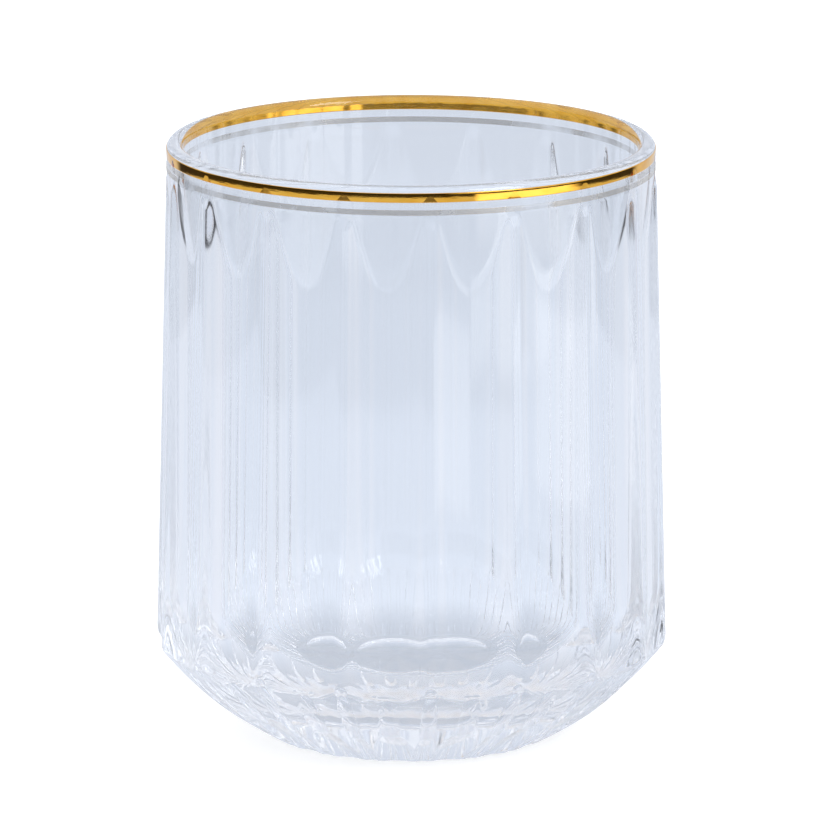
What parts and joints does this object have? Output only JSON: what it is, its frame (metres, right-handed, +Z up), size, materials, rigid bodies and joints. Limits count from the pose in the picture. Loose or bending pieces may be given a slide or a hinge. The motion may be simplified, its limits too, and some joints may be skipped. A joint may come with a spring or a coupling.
{
  "type": "faceted drinking glass",
  "caption": "Clear pressed-glass tumbler with hollow panels between narrow lands round the wall, a fluted bevel down to a small foot, and a fired gold band with a fine gilt line below the rim.",
  "frame": {"origin": "centre of the foot on the surface it stands on", "axes": "+Z up along the axis of the glass, towards the rim; +X towards one land; +Y towards the middle of a panel"},
  "size_m": [0.0844, 0.0834, 0.099],
  "materials": {
    "clear_glass": "clear, fire-polished pressed glass",
    "fired_gold": "bright fired gold film, lightly worn",
    "worn_gilt": "thin, worn gilt hairline that the glass shows through"
  },
  "bodies": {
    "root": {"glass_body": "clear_glass", "gold_rim_band": "fired_gold", "gilt_hairline": "worn_gilt"}
  },
  "joints": []
}
